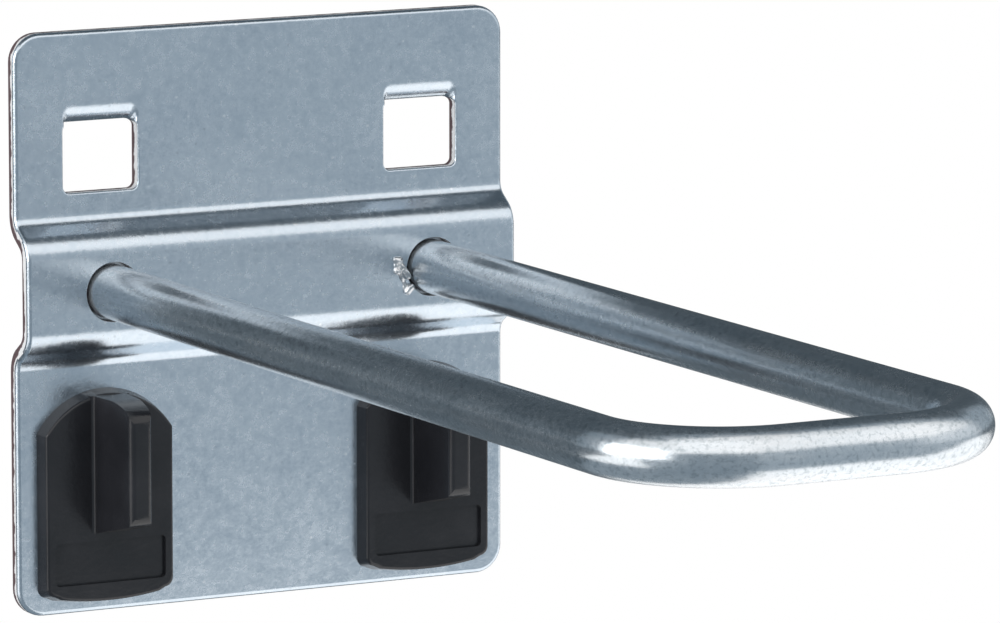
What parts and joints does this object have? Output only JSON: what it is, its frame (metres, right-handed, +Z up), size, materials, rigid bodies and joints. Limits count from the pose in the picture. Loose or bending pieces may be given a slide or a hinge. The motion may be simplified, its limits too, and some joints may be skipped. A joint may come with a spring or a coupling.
{
  "type": "pegboard hook",
  "caption": "Pegboard tool holder: folded steel plate with hooked tabs, a long welded bar loop and snap-in plastic locking clips with pull fins.",
  "frame": {"origin": "midway between the two upper square holes of the panel that the hook hangs on, on the panel's front face, which is the back face of the plate", "axes": "+Y into the panel, so -Y points out towards the user along the bar loop; +Z up; +X to the right"},
  "size_m": [0.058, 0.1309, 0.0622],
  "materials": {
    "plate": "zinc plated, satin",
    "bar": "zinc plated, bright drawn",
    "weld": "zinc plated weld metal",
    "clip": "moulded, satin charcoal"
  },
  "bodies": {
    "hook": {"back_plate": "plate", "bar_loop": "bar", "weld_left": "weld", "weld_right": "weld", "tack_weld": "weld"},
    "clip_left": {"locking_clip_left": "clip"},
    "clip_right": {"locking_clip_right": "clip"}
  },
  "joints": [
    {"name": "clip_left_pull", "type": "slide", "parent": "hook", "child": "clip_left", "axis": [0, -1, 0], "range_m": [0, 0.005]},
    {"name": "clip_right_pull", "type": "slide", "parent": "hook", "child": "clip_right", "axis": [0, -1, 0], "range_m": [0, 0.005]}
  ]
}
